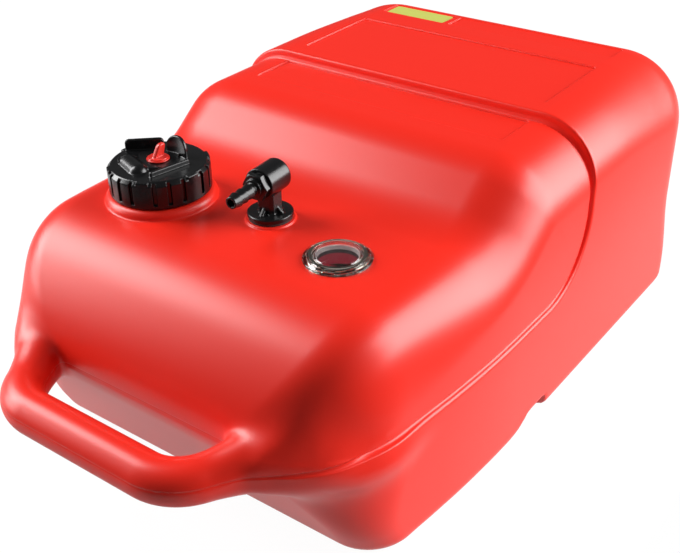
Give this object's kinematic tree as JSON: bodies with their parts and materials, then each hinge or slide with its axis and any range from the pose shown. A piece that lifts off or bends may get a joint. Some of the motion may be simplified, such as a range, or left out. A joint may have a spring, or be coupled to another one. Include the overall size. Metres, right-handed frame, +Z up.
{
  "type": "outboard fuel tank",
  "caption": "Portable moulded fuel tank with a front carrying handle, vented screw cap, elbow outlet with hose barb, and round level gauge on a low deck.",
  "frame": {"origin": "bottom centre of the tank's bounding box, on the floor it stands on", "axes": "+X across the tank towards the gauge's side, +Y from the handle to the rear, +Z up"},
  "size_m": [0.318, 0.5466, 0.2082],
  "materials": {
    "shell_red": "satin",
    "fitting_black": "satin",
    "vent_red": "gloss",
    "lens_clear": "gloss",
    "ring_clear": "satin",
    "seal_rubber": "matte",
    "inner_white": "satin",
    "drum_red": "satin",
    "steel": "satin",
    "float_foam": "matte",
    "label_yellow": "satin"
  },
  "bodies": {
    "tank": {"tank_shell": "shell_red", "outlet_body": "fitting_black", "outlet_gasket": "seal_rubber", "valve_seat": "inner_white", "check_spring": "steel", "hose_barb": "fitting_black", "barb_o_ring": "seal_rubber", "pickup_tube": "inner_white", "pickup_strainer": "inner_white", "gauge_gasket": "seal_rubber", "gauge_frame": "fitting_black", "gauge_pivot_pin": "steel", "gauge_lens": "lens_clear", "gauge_ring": "ring_clear", "rear_label": "label_yellow"},
    "cap_seal": {"cap_gasket": "seal_rubber"},
    "cap": {"filler_cap": "fitting_black"},
    "vent_seal": {"vent_o_ring": "seal_rubber"},
    "vent": {"vent_screw": "vent_red", "vent_retainer": "inner_white"},
    "check_valve": {"check_ball": "steel"},
    "float": {"level_drum": "drum_red", "float_arm": "steel", "float_body": "float_foam"}
  },
  "joints": [
    {"name": "cap_lift", "type": "slide", "parent": "tank", "child": "cap_seal", "axis": [0, 0, 1], "range_m": [0, 0.08]},
    {"name": "cap_turn", "type": "hinge", "parent": "cap_seal", "child": "cap", "pos_m": [-0.0737, -0.109, 0.19], "axis": [0, 0, 1], "range_deg": [0, 540]},
    {"name": "vent_rise", "type": "slide", "parent": "cap", "child": "vent_seal", "axis": [0, 0, 1], "range_m": [0, 0.003]},
    {"name": "vent_turn", "type": "hinge", "parent": "vent_seal", "child": "vent", "pos_m": [-0.0737, -0.109, 0.196], "axis": [0, 0, 1], "range_deg": [0, 740]},
    {"name": "check_lift", "type": "slide", "parent": "tank", "child": "check_valve", "axis": [0, 0, 1], "range_m": [0, 0.002], "stiffness_N_per_m": 40, "springref_m": -0.002, "deforming": ["check_spring"]},
    {"name": "float_swing", "type": "hinge", "parent": "tank", "child": "float", "pos_m": [0.0737, -0.1094, 0.1477], "axis": [1, 0, 0], "range_deg": [0, 72]}
  ],
  "couplings": [
    {"joint": "vent_turn", "follows": "vent_rise", "rad_per_m": 4188.8}
  ]
}
